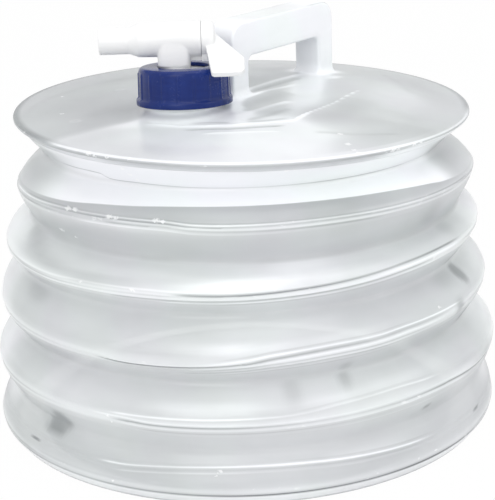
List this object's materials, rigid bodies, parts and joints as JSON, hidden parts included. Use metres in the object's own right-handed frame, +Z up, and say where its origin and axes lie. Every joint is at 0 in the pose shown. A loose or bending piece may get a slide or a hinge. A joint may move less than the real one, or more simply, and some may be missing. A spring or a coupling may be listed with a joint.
{
  "type": "collapsible water carrier",
  "caption": "Round collapsible water carrier: pleated soft bottle, moulded carrying handle, and a lever tap held on a short neck by a ribbed screw cap.",
  "frame": {"origin": "on the floor, under the middle of the bottle", "axes": "+Z up; X along the tap's barrel at rest, with the spout to -X; +Y to the back"},
  "size_m": [0.2808, 0.2808, 0.2297],
  "materials": {
    "bottle_plastic": "milky, see-through, satin",
    "cap_plastic": "gloss",
    "tap_plastic": "satin",
    "seal_rubber": "matte"
  },
  "bodies": {
    "base": {"bottle_base": "bottle_plastic", "fold_wall_1": "bottle_plastic"},
    "ridge_1": {"ridge_ring_1": "bottle_plastic", "fold_wall_2": "bottle_plastic"},
    "ridge_2": {"ridge_ring_2": "bottle_plastic", "fold_wall_3": "bottle_plastic"},
    "ridge_3": {"ridge_ring_3": "bottle_plastic", "fold_wall_4": "bottle_plastic"},
    "ridge_4": {"ridge_ring_4": "bottle_plastic", "fold_wall_5": "bottle_plastic"},
    "top": {"bottle_top": "bottle_plastic", "handle": "bottle_plastic"},
    "gasket": {"cap_gasket": "seal_rubber"},
    "cap": {"screw_cap": "cap_plastic"},
    "tap": {"tap_body": "tap_plastic"},
    "lever": {"tap_lever": "tap_plastic", "tap_plug": "tap_plastic", "plug_seal_outer": "seal_rubber", "plug_seal_inner": "seal_rubber"}
  },
  "joints": [
    {"name": "collapse", "type": "slide", "parent": "base", "child": "top", "axis": [0, 0, 1], "range_m": [-0.1165, 0], "deforming": ["fold_wall_5"]},
    {"name": "ridge_1_slide", "type": "slide", "parent": "base", "child": "ridge_1", "axis": [0, 0, 1], "range_m": [-0.02538, 0], "deforming": ["fold_wall_1"]},
    {"name": "ridge_2_slide", "type": "slide", "parent": "base", "child": "ridge_2", "axis": [0, 0, 1], "range_m": [-0.04961, 0], "deforming": ["fold_wall_2"]},
    {"name": "ridge_3_slide", "type": "slide", "parent": "base", "child": "ridge_3", "axis": [0, 0, 1], "range_m": [-0.07198, 0], "deforming": ["fold_wall_3"]},
    {"name": "ridge_4_slide", "type": "slide", "parent": "base", "child": "ridge_4", "axis": [0, 0, 1], "range_m": [-0.09272, 0], "deforming": ["fold_wall_4"]},
    {"name": "cap_climb", "type": "slide", "parent": "top", "child": "gasket", "axis": [0, 0.0698, 0.9976], "range_m": [0, 0.0151]},
    {"name": "cap_turn", "type": "hinge", "parent": "gasket", "child": "cap", "pos_m": [-0.0282, -0.0353, 0.1993], "axis": [0, 0.0698, 0.9976], "range_deg": [0, 900]},
    {"name": "tap_swivel", "type": "hinge", "parent": "gasket", "child": "tap", "pos_m": [-0.0282, -0.0353, 0.1993], "axis": [0, 0.0698, 0.9976], "range_deg": [-90, 40]},
    {"name": "lever_turn", "type": "hinge", "parent": "tap", "child": "lever", "pos_m": [-0.0183, -0.03383, 0.22025], "axis": [-1, 0, 0], "range_deg": [0, 90]}
  ],
  "couplings": [
    {"joint": "ridge_1_slide", "follows": "collapse", "ratio": 0.217},
    {"joint": "ridge_2_slide", "follows": "collapse", "ratio": 0.425},
    {"joint": "ridge_3_slide", "follows": "collapse", "ratio": 0.617},
    {"joint": "ridge_4_slide", "follows": "collapse", "ratio": 0.795},
    {"joint": "cap_climb", "follows": "cap_turn", "m_per_rad": 0.00095493}
  ]
}
